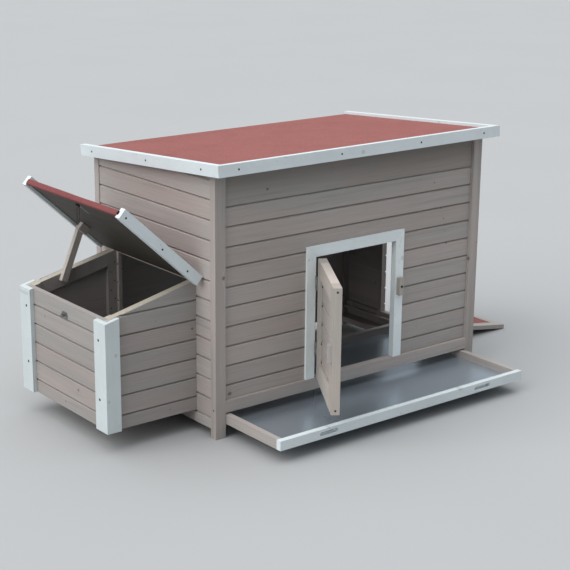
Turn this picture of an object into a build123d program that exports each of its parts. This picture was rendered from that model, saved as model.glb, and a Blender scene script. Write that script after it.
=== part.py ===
from build123d import *
import os
from math import atan2, cos, degrees, hypot, radians, sin, tan

# Chicken coop with an outside nest box, front door, droppings tray and ramp door.
# Modelled in house coordinates: X to the right along the front, Y to the back, Z up,
# zero at the outer foot corner of the front left post. place() moves every node so that
# the finished part stands with its origin at the bottom centre of its bounding box.

# ---- driving dimensions (mm) ----
WIDTH = 1032.0            # house, outside of the posts
DEPTH = 631.0
POST_W = 35.0             # post, seen from the front
POST_D = 25.0             # post, seen from the side
PITCH = 58.0              # cover width of every grooved board
BOARD_T = 12.0
BATTEN_T = 15.0
SHEET_T = 1.2             # thickness of all hinge and hasp metal
PIN_R = 1.5
PIN_CLEAR = 0.05

ROOF_FRONT_Y = -47.9      # outer face of the front fascia
ROOF_TOP_Z = 808.8        # top edge of the front fascia
ROOF_DROP = 52.3          # fall of the roof from front to back
ROOF_RUN = 717.5          # horizontal run of the roof
ROOF_SIDE = 23.4          # roof overhang at each side
FASCIA_H = 33.6
FASCIA_T = 19.0
FASCIA_LIP = 9.0          # fascia standing above the felt
FELT_T = 2.0
ROOF_BOARD_T = 12.0
GROOVE_D = 6.0            # depth of the groove that holds a roof or lid panel

RAIL_Z0 = 75.6            # front bottom rail
RAIL_Z1 = 110.7
FRONT_SET = 9.5           # front boards set back from the posts
SIDE_SET = 2.0            # side and rear boards set back from the posts
FRONT_FIRST = 98.0        # lower edge of the lowest front board, before it is cut at the rail
TOP_RAIL_Z = FRONT_FIRST + 10 * PITCH     # the wide top rail starts at a joint of the boards
SIDE_FIRST = 3.3          # the same for side and rear boards
SIDE_BOTTOM = 27.0        # where side and rear boards are cut off

DOOR_X0 = 363.2           # clear opening inside the white door frame
DOOR_X1 = 679.5
DOOR_Z1 = 484.5
FRAME_W = 33.0            # door frame board
FRAME_Y0 = 2.0            # its face, just behind the face of the posts
LINING = 6.0              # the frame's return, which covers the ends of the wall boards
DOOR_T = 25.0
DOOR_GAP = 3.0
DOOR_STILE = 50.0
DOOR_RECESS = 8.0
DOOR_OPEN = 122.0         # how far the door stands open, degrees

TRAY_OUT = 251.3          # how far the tray is pulled out
TRAY_X0 = 36.5
TRAY_Z0 = 41.7
TRAY_H = 28.5
TRAY_LEN = 604.0
TRAY_T = 18.0
SLOT_W = 66.0
SLOT_H = 12.0
SLOT_OFF = 305.0          # finger slots, left and right of the middle

NEST_X = -295.0           # outer face of the nest's end boards
NEST_Y0 = 96.6            # outer face of the nest's front side boards
NEST_Y1 = 546.0
NEST_FIRST = 48.8
NEST_BOTTOM = 65.6
NEST_RIM_Z = 386.7        # rim height at the outer face of the end boards
NEST_SLOPE = 12.65        # fall of the nest's rim away from the house, degrees
CORNER_W = 46.0           # white corner boards
CORNER_SIDE_T = 14.0
CORNER_END_T = 13.0

LID_OPEN = 55.05          # lid angle above its closed position, degrees
LID_AXIS_X = -5.0
LID_AXIS_Z = 467.0
LID_AXIS_N = 14.0         # hinge axis above the underside of the lid panel
LID_START = 3.0           # from the hinge axis to the wall end of the lid
LID_LENGTH = 340.5        # from the hinge axis to the free edge
LID_BOARD_T = 9.0
LID_TRIM_T = 20.0
LID_TRIM_LOW = -9.0       # trim edges, measured from the underside of the panel
LID_TRIM_HIGH = 22.0
LID_Y0 = 57.0
LID_Y1 = 585.6

STICK_PIVOT_S = 140.0     # pivot of the prop stick, from the hinge axis along the lid
STICK_PIVOT_N = -14.0     # and below the underside of the panel
STICK_LEN = 165.0         # pivot to foot
STICK_LEAN = 22.5         # lean from plumb when it props the lid, degrees
STICK_W = 20.0
STICK_T = 16.0
STICK_Y0 = 501.0

POP_Y0 = 232.0            # pop-hole in the right wall
POP_Y1 = 424.0
POP_Z0 = 92.0
POP_Z1 = 445.0
RAMP_Y0 = 229.0
RAMP_Y1 = 435.0
RAMP_LEN = 397.0
RAMP_T = 12.0
RAMP_AXIS_X = WIDTH + 4.0
RAMP_AXIS_Z = 72.0
RAMP_RAIL = 35.0

PASSAGE_Y0 = 134.6        # way through the left wall into the nest
PASSAGE_Y1 = 508.0
PASSAGE_Z0 = 130.0
PASSAGE_Z1 = 447.0


# ---- helpers ----
def block(x0, x1, y0, y1, z0, z1):
    """Box between two corners."""
    middle = ((x0 + x1) / 2, (y0 + y1) / 2, (z0 + z1) / 2)
    return Pos(*middle) * Box(x1 - x0, y1 - y0, z1 - z0)


def cut(pieces, *tools):
    """Take every tool away from every piece and return the solids that are left."""
    left = list(pieces)
    for tool in tools:
        left = [solid for piece in left for solid in (piece - tool).solids()]
    return left


def rod(centre, axis, radius, length):
    """Cylinder about its centre point along an axis."""
    return Plane(origin=centre, z_dir=axis) * Cylinder(radius, length)


def prism(points, plane, length):
    """Closed outline on a plane, extruded along the plane's normal."""
    return extrude(plane * make_face(Polyline(*points, close=True)), amount=length)


# ---- tongued boards ----
def board_profile():
    """Section of a tongued board: first value is depth from the face, second is height."""
    bevel = 1.5
    shadow_gap = 4.0
    tongue_at = 4.5
    tongue_t = 3.5
    tongue_h = 5.0
    play = 0.2
    shoulder = PITCH - shadow_gap
    return [
        (0, bevel), (0, shoulder - bevel), (bevel, shoulder), (tongue_at, shoulder),
        (tongue_at, PITCH + tongue_h), (tongue_at + tongue_t, PITCH + tongue_h),
        (tongue_at + tongue_t, PITCH - play), (BOARD_T, PITCH - play), (BOARD_T, 0),
        (tongue_at + tongue_t + play, 0), (tongue_at + tongue_t + play, tongue_h + 2 * play),
        (tongue_at - play, tongue_h + 2 * play), (tongue_at - play, 0), (bevel, 0),
    ]


def board_wall(start, inward, length, first, top):
    """Boards stacked upwards from height first, their faces at start, running along
    inward x up, until they pass the height top."""
    inward = Vector(*inward)
    run = inward.cross(Vector(0, 0, 1))
    boards = []
    height = first
    while height < top:
        corner = (start[0], start[1], height)
        boards.append(prism(board_profile(), Plane(origin=corner, x_dir=inward, z_dir=run), length))
        height += PITCH
    return boards


# ---- screws ----
SCREW_HEAD_R = 3.2
SCREW_HEAD_H = 2.2
SCREW_R = 1.6


def screw(head, inward, length, extra=0.0):
    """Countersunk screw with its head flush at a point; extra widens it into a drill."""
    half = [
        (0, 0), (SCREW_HEAD_R + extra, 0), (SCREW_R + extra, SCREW_HEAD_H),
        (SCREW_R + extra, length + extra), (0, length + extra),
    ]
    outline = Plane.XZ * make_face(Polyline(*half, close=True))
    return Plane(origin=head, z_dir=inward) * revolve(outline, Axis.Z)


def screw_set(heads, inward, length):
    """Screws at a list of points, and the drills that make room for them."""
    drill_play = 0.08
    screws = [screw(head, inward, length) for head in heads]
    drills = [screw(head, inward, length, drill_play) for head in heads]
    return screws, drills


# ---- hinges ----
KNUCKLE_R = 3.2
HINGE_LEN = 42.0
HINGE_LEAF = 22.0


def knuckles(axis_point, axis, along, offsets, length):
    """Tubes round the hinge axis, centred at offsets along it."""
    tubes = []
    for offset in offsets:
        centre = Vector(*axis_point) + Vector(*axis) * (along + offset)
        outer = rod(centre, axis, KNUCKLE_R, length)
        tubes.append(outer - rod(centre, axis, PIN_R + PIN_CLEAR, length + 1))
    return tubes


def hinge(axis_point, axis, along, fixed_leaf, moving_leaf):
    """Three-knuckle butt hinge: fixed leaf with the two outer knuckles, moving leaf with the
    middle one, and the pin. Both leaf plates run the whole length and are notched here."""
    third = HINGE_LEN / 3
    gap = 0.5
    tube = third - gap
    centre = Vector(*axis_point) + Vector(*axis) * along
    middle_space = rod(centre, axis, KNUCKLE_R + gap, third + gap)
    outer_space = [
        rod(centre + Vector(*axis) * side * third, axis, KNUCKLE_R + gap, third + gap)
        for side in (-1, 1)
    ]
    bore = rod(centre, axis, PIN_R + PIN_CLEAR, HINGE_LEN + 2)
    fixed = fixed_leaf - middle_space
    for tube_solid in knuckles(axis_point, axis, along, (-third, third), tube):
        fixed = fixed + tube_solid
    moving = moving_leaf
    for space in outer_space:
        moving = moving - space
    for tube_solid in knuckles(axis_point, axis, along, (0,), tube):
        moving = moving + tube_solid
    pin = rod(centre, axis, PIN_R, HINGE_LEN)
    return fixed - bore, moving - bore, pin


# ---- roof ----
ROOF_SLOPE = degrees(atan2(ROOF_DROP, ROOF_RUN))
ROOF_LEN = hypot(ROOF_DROP, ROOF_RUN)
ROOF_X0 = -ROOF_SIDE
ROOF_X1 = WIDTH + ROOF_SIDE
ROOF_UNDER = FASCIA_LIP + FELT_T + ROOF_BOARD_T
roof_place = Location((0, ROOF_FRONT_Y, ROOF_TOP_Z), (-ROOF_SLOPE, 0, 0))
under_roof_gap = 0.05
above_walls = roof_place * block(
    ROOF_X0 - 50, ROOF_X1 + 50, -50, ROOF_LEN + 50, -ROOF_UNDER - under_roof_gap, 200)


def roof():
    """Grooved board roof: panel, felt folded over the back edge, and three white fascias."""
    inner_x0 = ROOF_X0 + FASCIA_T
    inner_x1 = ROOF_X1 - FASCIA_T
    tongue = GROOVE_D - 0.2
    panel = block(
        inner_x0 - tongue, inner_x1 + tongue, FASCIA_T - tongue, ROOF_LEN,
        -ROOF_UNDER, -FASCIA_LIP - FELT_T)
    felt_top = block(
        inner_x0 - tongue, inner_x1 + tongue, FASCIA_T - tongue, ROOF_LEN + FELT_T,
        -FASCIA_LIP - FELT_T, -FASCIA_LIP)
    felt_back = block(
        inner_x0, inner_x1, ROOF_LEN, ROOF_LEN + FELT_T, -ROOF_UNDER, -FASCIA_LIP)
    groove = block(
        inner_x0 - GROOVE_D, inner_x1 + GROOVE_D, FASCIA_T - GROOVE_D, ROOF_LEN + 10,
        -ROOF_UNDER - 0.1, -FASCIA_LIP + 0.1)
    base = Plane(origin=(0, 0, -FASCIA_H))
    end = ROOF_LEN + FELT_T
    front = prism([(ROOF_X0, 0), (ROOF_X1, 0), (inner_x1, FASCIA_T), (inner_x0, FASCIA_T)],
                  base, FASCIA_H)
    left = prism([(ROOF_X0, 0), (inner_x0, FASCIA_T), (inner_x0, end), (ROOF_X0, end)],
                 base, FASCIA_H)
    right = prism([(ROOF_X1, 0), (ROOF_X1, end), (inner_x1, end), (inner_x1, FASCIA_T)],
                  base, FASCIA_H)
    panel_mid = -FASCIA_LIP - FELT_T - ROOF_BOARD_T / 2
    front_heads = [(x, 0, panel_mid) for x in (44.6, 410.6, 720.8, 986.3)]
    side_run = (83, 359, 656)
    length = 40
    sets = [
        screw_set(front_heads, (0, 1, 0), length),
        screw_set([(ROOF_X0, run, panel_mid) for run in side_run], (1, 0, 0), length),
        screw_set([(ROOF_X1, run, panel_mid) for run in side_run], (-1, 0, 0), length),
    ]
    screws = [one for group, _ in sets for one in group]
    drills = [one for _, group in sets for one in group]
    parts = {
        "roof_board": cut([panel], *drills),
        "roof_felt": [felt_top + felt_back],
        "roof_front_fascia": cut([front], groove, *drills),
        "roof_side_fascias": cut([left, right], groove, *drills),
        "roof_screws": screws,
    }
    return {name: [roof_place * solid for solid in solids] for name, solids in parts.items()}


# ---- house body ----
INNER_X0 = SIDE_SET + BOARD_T
INNER_X1 = WIDTH - INNER_X0
BACK_Y = DEPTH - SIDE_SET - BOARD_T
FRONT_BACK = FRONT_SET + BOARD_T
WALL_TOP = ROOF_TOP_Z
POP_JAMB = 8.0            # depth of the battens round the pop-hole


def posts():
    front = [block(x, x + POST_W, 0, POST_D, 0, WALL_TOP) for x in (0, WIDTH - POST_W)]
    rear = [block(x, x + POST_W, DEPTH - POST_D, DEPTH, 0, WALL_TOP)
            for x in (0, WIDTH - POST_W)]
    return {"front_posts": cut(front, above_walls), "rear_posts": cut(rear, above_walls)}


def rails():
    """Front bottom rail flush with the posts, wide top rail in line with the front boards, and
    nailing rails inside the other walls."""
    bottom = block(POST_W, WIDTH - POST_W, 0, POST_D, RAIL_Z0, RAIL_Z1)
    top = block(POST_W, WIDTH - POST_W, FRONT_SET, POST_D, TOP_RAIL_Z, WALL_TOP)
    rail_t = 20.0
    side_y0 = POST_D
    side_y1 = DEPTH - POST_D
    left = block(INNER_X0, INNER_X0 + rail_t, side_y0, side_y1, RAIL_Z0, POP_Z0)
    right = block(INNER_X1 - rail_t, INNER_X1, side_y0, side_y1, RAIL_Z0 - 9, POP_Z0 - BATTEN_T)
    back_low = block(POST_W, WIDTH - POST_W, BACK_Y - rail_t, BACK_Y, RAIL_Z0, RAIL_Z1)
    back_high = block(POST_W, WIDTH - POST_W, BACK_Y - rail_t, BACK_Y, 700, WALL_TOP)
    return {
        "front_bottom_rail": [bottom],
        "front_top_rail": cut([top], above_walls),
        "inner_rails": cut([left, right, back_low, back_high], above_walls),
    }


def walls():
    between = WIDTH - 2 * POST_W
    side_run = DEPTH - 2 * POST_D
    door_hole = block(DOOR_X0 - LINING, DOOR_X1 + LINING, -50, 60, 0, DOOR_Z1 + LINING)
    below_rail = block(-50, WIDTH + 50, -50, 60, -50, RAIL_Z1)
    above_rail = block(-50, WIDTH + 50, -50, 60, TOP_RAIL_Z, WALL_TOP + 50)
    below_side = block(-50, WIDTH + 50, -50, DEPTH + 50, -50, SIDE_BOTTOM)
    passage = block(-50, 60, PASSAGE_Y0, PASSAGE_Y1, PASSAGE_Z0, PASSAGE_Z1)
    pop_hole = block(WIDTH - 60, WIDTH + 50, POP_Y0, POP_Y1, POP_Z0, POP_Z1)
    front = board_wall((POST_W, FRONT_SET), (0, 1, 0), between, FRONT_FIRST, TOP_RAIL_Z)
    rear = board_wall((WIDTH - POST_W, DEPTH - SIDE_SET), (0, -1, 0), between, SIDE_FIRST, WALL_TOP)
    left = board_wall((SIDE_SET, DEPTH - POST_D), (1, 0, 0), side_run, SIDE_FIRST, WALL_TOP)
    right = board_wall((WIDTH - SIDE_SET, POST_D), (-1, 0, 0), side_run, SIDE_FIRST, WALL_TOP)
    return {
        "front_wall_boards": cut(front, door_hole, below_rail, above_rail),
        "rear_wall_boards": cut(rear, below_side, above_walls),
        "left_wall_boards": cut(left, below_side, above_walls, passage),
        "right_wall_boards": cut(right, below_side, above_walls, pop_hole),
    }


def wall_battens():
    """Rebated stops behind the door, frame round the pop-hole, and the tray's runners."""
    lap = 7.0
    width = 30.0
    y0 = FRONT_BACK
    door_back = FRAME_Y0 + DOOR_T + 0.3
    y1 = door_back + 12.0
    top = DOOR_Z1 - lap
    left = DOOR_X0 + lap - width
    rebate = block(DOOR_X0 - 0.5, DOOR_X1 + 0.5, y0 - 1, door_back, 0, DOOR_Z1 + 0.5)
    stops = [
        block(left, DOOR_X0 + lap, y0, y1, RAIL_Z1 + 6, top) - rebate,
        block(left, DOOR_X1 + width - lap, y0, y1, top, top + width) - rebate,
    ]
    jamb_x0 = INNER_X1 - POP_JAMB
    pop = [
        block(jamb_x0, INNER_X1, POP_Y0 - BATTEN_T, POP_Y0, POP_Z0, POP_Z1),
        block(jamb_x0, INNER_X1, POP_Y1, POP_Y1 + BATTEN_T, POP_Z0, POP_Z1),
        block(jamb_x0, INNER_X1, POP_Y0 - BATTEN_T, POP_Y1 + BATTEN_T, POP_Z1, POP_Z1 + BATTEN_T),
        block(jamb_x0, INNER_X1, POST_D, DEPTH - POST_D, POP_Z0 - BATTEN_T, POP_Z0),
    ]
    runner_w = 42.0
    runner_top = TRAY_Z0 - 0.5
    runner_h = 19.0
    runners = [
        block(x, x + runner_w, POST_D, DEPTH - POST_D, runner_top - runner_h, runner_top)
        for x in (INNER_X0, INNER_X1 - runner_w)
    ]
    return {"door_stop_battens": stops, "pop_hole_battens": pop, "tray_runners": runners}


# ---- door frame and door ----
FRAME_Y1 = FRONT_SET
DOOR_AXIS = (DOOR_X0 - 0.5, FRAME_Y0 - KNUCKLE_R - 0.2)
DOOR_Z0 = RAIL_Z1 + 3.8
DOOR_TOP = DOOR_Z1 - 2.5
DOOR_LEFT = DOOR_X0 + DOOR_GAP
DOOR_RIGHT = DOOR_X1 - 2.5
BUTTON_X = DOOR_X1 + 15.5
BUTTON_Z = 340.0
door_axis = Axis((DOOR_AXIS[0], DOOR_AXIS[1], 0), (0, 0, 1))


def door_frame():
    """White frame of three boards, mitred in front, that returns over the wall boards' ends."""
    outer_x0 = DOOR_X0 - FRAME_W
    outer_x1 = DOOR_X1 + FRAME_W
    outer_z1 = DOOR_Z1 + FRAME_W
    face = Plane(origin=(0, FRAME_Y1, 0), x_dir=(1, 0, 0), z_dir=(0, -1, 0))
    thick = FRAME_Y1 - FRAME_Y0
    left = prism([(outer_x0, RAIL_Z1), (DOOR_X0, RAIL_Z1), (DOOR_X0, DOOR_Z1), (outer_x0, outer_z1)],
                 face, thick)
    right = prism([(outer_x1, RAIL_Z1), (outer_x1, outer_z1), (DOOR_X1, DOOR_Z1), (DOOR_X1, RAIL_Z1)],
                  face, thick)
    head = prism([(outer_x0, outer_z1), (DOOR_X0, DOOR_Z1), (DOOR_X1, DOOR_Z1), (outer_x1, outer_z1)],
                 face, thick)
    left = left + block(DOOR_X0 - LINING, DOOR_X0, FRAME_Y1, FRONT_BACK, RAIL_Z1, DOOR_Z1)
    right = right + block(DOOR_X1, DOOR_X1 + LINING, FRAME_Y1, FRONT_BACK, RAIL_Z1, DOOR_Z1)
    head = head + block(DOOR_X0 - LINING, DOOR_X1 + LINING, FRAME_Y1, FRONT_BACK,
                        DOOR_Z1, DOOR_Z1 + LINING)
    rail = block(0, WIDTH, 0, POST_D, 0, RAIL_Z1)
    return {
        "door_frame_left_jamb": cut([left], rail),
        "door_frame_right_jamb": cut([right], rail),
        "door_frame_head": [head],
    }


def door():
    """Framed door with tongued boards let into its stiles, a wooden pull and two hinges."""
    y0 = FRAME_Y0
    y1 = FRAME_Y0 + DOOR_T
    rail_x0 = DOOR_LEFT + DOOR_STILE
    rail_x1 = DOOR_RIGHT - DOOR_STILE
    low = DOOR_Z0 + DOOR_STILE
    high = DOOR_TOP - DOOR_STILE
    stiles = [block(x, x + DOOR_STILE, y0, y1, DOOR_Z0, DOOR_TOP) for x in (DOOR_LEFT, rail_x1)]
    door_rails = [block(rail_x0, rail_x1, y0, y1, z, z + DOOR_STILE) for z in (DOOR_Z0, high)]
    let_in = 5.0
    face = y0 + DOOR_RECESS
    boards = board_wall((rail_x0 - let_in, face), (0, 1, 0), rail_x1 - rail_x0 + 2 * let_in,
                        130.0, high)
    boards = cut(boards, block(0, WIDTH, -60, 60, 0, low), block(0, WIDTH, -60, 60, high, 600))
    groove = block(rail_x0 - let_in - 0.2, rail_x1 + let_in + 0.2, face - 0.05,
                   face + BOARD_T + 0.05, low, high)
    pull_w = 18.0
    pull_out = 12.0
    pull_z0 = 268.0
    pull_z1 = 319.0
    pull = block(DOOR_RIGHT - 1 - pull_w, DOOR_RIGHT - 1, y0 - pull_out, y0, pull_z0, pull_z1)
    pull = fillet(pull.edges().filter_by(Axis.Z).group_by(Axis.Y)[0], 3)
    edge_y = (y0 + y1) / 2
    edge_heads = [(DOOR_RIGHT, edge_y, z) for z in (DOOR_Z0 + 12, DOOR_TOP - 12)]
    edge_screws, edge_drills = screw_set(edge_heads, (-1, 0, 0), 60)
    pull_x = DOOR_RIGHT - 1 - pull_w / 2
    pull_heads = [(pull_x, y0 - pull_out, z) for z in (pull_z0 + 9, pull_z1 - 9)]
    pull_screws, pull_drills = screw_set(pull_heads, (0, 1, 0), 30)
    drills = edge_drills + pull_drills
    closed = {
        "door_stiles": cut(stiles, groove, *drills),
        "door_rails": cut(door_rails, *drills),
        "door_boards": boards,
        "door_pull": cut([pull], *pull_drills),
        "door_screws": edge_screws + pull_screws,
    }
    frame_leaves = []
    door_leaves = []
    pins = []
    for height in (204.0, 406.0):
        z0 = height - HINGE_LEN / 2
        z1 = height + HINGE_LEN / 2
        fixed = block(DOOR_X0, DOOR_X0 + SHEET_T, DOOR_AXIS[1], DOOR_AXIS[1] + HINGE_LEAF, z0, z1)
        moving = block(DOOR_LEFT - SHEET_T, DOOR_LEFT, DOOR_AXIS[1],
                       DOOR_AXIS[1] + HINGE_LEAF, z0, z1)
        axis_point = (DOOR_AXIS[0], DOOR_AXIS[1], 0)
        one, other, pin = hinge(axis_point, (0, 0, 1), height, fixed, moving)
        frame_leaves.append(one)
        door_leaves.append(other)
        pins.append(pin)
    closed["door_hinge_door_leaves"] = door_leaves
    parts = {
        name: [solid.rotate(door_axis, -DOOR_OPEN) for solid in solids]
        for name, solids in closed.items()
    }
    parts["door_hinge_frame_leaves"] = frame_leaves
    parts["hinge_pins"] = pins
    return parts


def turn_button(centre, outward, up, length, width, thick):
    """Wooden turn-button on its screw; centre lies on the face that it turns against."""
    washer_gap = 0.6
    out = Vector(*outward)
    along = Vector(*up)
    plane = Plane(origin=Vector(*centre) + out * washer_gap, x_dir=along, z_dir=out)
    wood = extrude(plane * RectangleRounded(length, width, 2.0), amount=thick)
    head_gap = 0.4
    depth = 12.0
    outer = thick + washer_gap + head_gap
    shank = rod(Vector(*centre) + out * (outer - depth) / 2, outward, 2.0, outer + depth)
    head = rod(Vector(*centre) + out * (outer + 0.8), outward, 4.2, 1.6)
    bore = rod(Vector(*centre) + out * (outer - depth) / 2, outward, 2.05, outer + depth + 0.2)
    return wood - bore, shank + head, bore


BUTTON_LEN = 56.0
BUTTON_W = 18.0
BUTTON_T = 14.0
RAMP_BUTTON_Y = (POP_Y0 + POP_Y1) / 2
RAMP_BUTTON_Z = 488.0
RAMP_BUTTON_X = RAMP_AXIS_X + RAMP_T + 0.6


def turn_buttons():
    """One button on the door frame, one on a block above the pop-hole."""
    door_button, door_screw, door_bore = turn_button(
        (BUTTON_X, FRAME_Y0, BUTTON_Z), (0, -1, 0), (0, 0, 1), BUTTON_LEN, BUTTON_W, BUTTON_T)
    ramp_button, ramp_screw, ramp_bore = turn_button(
        (RAMP_BUTTON_X, RAMP_BUTTON_Y, RAMP_BUTTON_Z), (1, 0, 0), (0, 1, 0), 50.0, 20.0, 10.0)
    spacer = block(WIDTH - SIDE_SET, RAMP_BUTTON_X, RAMP_BUTTON_Y - 12, RAMP_BUTTON_Y + 12,
                   RAMP_BUTTON_Z - 10, RAMP_BUTTON_Z + 10)
    return {
        "door_turn_button": [door_button],
        "ramp_turn_button": [ramp_button],
        "turn_button_screws": [door_screw, ramp_screw],
        "ramp_button_block": cut([spacer], ramp_bore),
    }, [door_bore]


# ---- droppings tray ----
def tray():
    """White front board with two finger slots, grey sides and back, galvanised sheet."""
    x1 = WIDTH - TRAY_X0
    z1 = TRAY_Z0 + TRAY_H
    middle = WIDTH / 2
    front = block(TRAY_X0, x1, 0, TRAY_T, TRAY_Z0, z1)
    slot_z = TRAY_Z0 + TRAY_H / 2
    face = Plane(origin=(0, 0, 0), x_dir=(1, 0, 0), z_dir=(0, 1, 0))
    for side in (-1, 1):
        slot = Pos(middle + side * SLOT_OFF, TRAY_T / 2, slot_z) * (
            Rot(90, 0, 0) * extrude(SlotOverall(SLOT_W, SLOT_H), amount=TRAY_T, both=True))
        front = front - slot
    sheet_z = TRAY_Z0 + 4.0
    sheet_edge = 5.0
    sheet = block(TRAY_X0 + TRAY_T - sheet_edge, x1 - TRAY_T + sheet_edge, TRAY_T - sheet_edge,
                  TRAY_LEN - TRAY_T + sheet_edge, sheet_z, sheet_z + SHEET_T)
    rebate = block(TRAY_X0 + TRAY_T - sheet_edge - 0.2, x1 - TRAY_T + sheet_edge + 0.2,
                   TRAY_T - sheet_edge - 0.2, TRAY_LEN - TRAY_T + sheet_edge + 0.2,
                   sheet_z - 0.05, sheet_z + SHEET_T + 0.05)
    sides = [block(x, x + TRAY_T, TRAY_T, TRAY_LEN, TRAY_Z0, z1) for x in (TRAY_X0, x1 - TRAY_T)]
    rear = block(TRAY_X0 + TRAY_T, x1 - TRAY_T, TRAY_LEN - TRAY_T, TRAY_LEN, TRAY_Z0, z1)
    out = Pos(0, -TRAY_OUT, 0)
    parts = {
        "tray_front_board": cut([front], rebate),
        "tray_side_boards": cut(sides, rebate),
        "tray_rear_board": cut([rear], rebate),
        "tray_sheet": [sheet],
    }
    return {name: [out * solid for solid in solids] for name, solids in parts.items()}


# ---- nest box ----
RIM_FALL = tan(radians(NEST_SLOPE))
nest_place = Location((NEST_X, 0, NEST_RIM_Z), (0, -NEST_SLOPE, 0))
above_nest = nest_place * block(-200, 700, -100, DEPTH, 0, 400)
below_nest = block(NEST_X - 50, 50, 0, DEPTH, -50, NEST_BOTTOM)
NEST_IN_Y0 = NEST_Y0 + BOARD_T
NEST_IN_Y1 = NEST_Y1 - BOARD_T
NEST_IN_X = NEST_X + BOARD_T
CORNER_SCREW_Z = (158.0, 331.0)


def nest_box():
    """Boarded box with a floor, inner battens and white corner boards."""
    top = NEST_RIM_Z + (SIDE_SET - NEST_X) * RIM_FALL
    front = board_wall((NEST_X, NEST_Y0), (0, 1, 0), SIDE_SET - NEST_X, NEST_FIRST, top)
    rear = board_wall((SIDE_SET, NEST_Y1), (0, -1, 0), SIDE_SET - NEST_X, NEST_FIRST, top)
    end = board_wall((NEST_X, NEST_IN_Y1), (1, 0, 0), NEST_IN_Y1 - NEST_IN_Y0, NEST_FIRST, top)
    floor_z = 70.0
    floor_t = 9.0
    floor = block(NEST_IN_X, SIDE_SET, NEST_IN_Y0, NEST_IN_Y1, floor_z, floor_z + floor_t)
    batten_z = floor_z + floor_t
    corner = 20.0
    wall_batten = 31.0
    cleat_h = 40.0
    battens = []
    for y in (NEST_IN_Y0, NEST_IN_Y1 - corner):
        battens.append(block(NEST_IN_X, NEST_IN_X + corner, y, y + corner, batten_z, top))
    for y in (NEST_IN_Y0, NEST_IN_Y1 - BATTEN_T):
        battens.append(block(SIDE_SET - wall_batten, SIDE_SET, y, y + BATTEN_T, batten_z, top))
    below_cleat = nest_place * block(-200, 700, -100, DEPTH, -600, -cleat_h)
    cleats = [
        block(NEST_IN_X + corner, SIDE_SET - wall_batten, y, y + BATTEN_T, NEST_BOTTOM, top)
        for y in (NEST_IN_Y0, NEST_IN_Y1 - BATTEN_T)
    ]
    trims = []
    outer_x = NEST_X - CORNER_END_T
    for side_y, end_y in ((NEST_Y0 - CORNER_SIDE_T, NEST_Y0), (NEST_Y1, NEST_Y1 - CORNER_W)):
        trims.append(block(outer_x, outer_x + CORNER_W, side_y, side_y + CORNER_SIDE_T,
                           NEST_BOTTOM, top))
        trims.append(block(outer_x, NEST_X, end_y, end_y + CORNER_W, NEST_BOTTOM, top))
    end_heads = [(outer_x, y, z) for y in (NEST_Y0 + CORNER_W / 2, NEST_Y1 - CORNER_W / 2)
                 for z in CORNER_SCREW_Z]
    screws, drills = screw_set(end_heads, (1, 0, 0), 24)
    return {
        "nest_front_boards": cut(front, above_nest, below_nest, *drills),
        "nest_rear_boards": cut(rear, above_nest, below_nest, *drills),
        "nest_end_boards": cut(end, above_nest, below_nest, *drills),
        "nest_floor": [floor],
        "nest_inner_battens": cut(battens, above_nest, *drills) + cut(cleats, above_nest, below_cleat),
        "nest_corner_trims": cut(trims, above_nest, *drills),
        "nest_screws": screws,
    }


# ---- nest lid ----
# Lid pieces are made in the lid's own directions: first value is the distance from the
# hinge axis towards the free edge, second is along the hinge, third is the height above the
# underside of the panel. lid_at() turns such a place into the open position.
lid_angle = LID_OPEN - NEST_SLOPE
lid_place = Location((LID_AXIS_X, 0, LID_AXIS_Z), (0, lid_angle, 0)) * Pos(0, 0, -LID_AXIS_N)
LID_PANEL_T = LID_BOARD_T + FELT_T
HASP_S = 306.0            # hasp hinge, just outside the nest's end boards when the lid is shut
HASP_N = SHEET_T / 2 - KNUCKLE_R
HASP_Y = (NEST_Y0 + NEST_Y1) / 2
HASP_W = 16.0
HASP_LEN = 48.0
HASP_LEAF = 45.0


def lid_block(s0, s1, y0, y1, n0, n1):
    return block(-s1, -s0, y0, y1, n0, n1)


def lid_at(s, n):
    """House X and Z of a point of the open lid."""
    turn = radians(lid_angle)
    lift = n - LID_AXIS_N
    return (LID_AXIS_X - s * cos(turn) + lift * sin(turn),
            LID_AXIS_Z + s * sin(turn) + lift * cos(turn))


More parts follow.
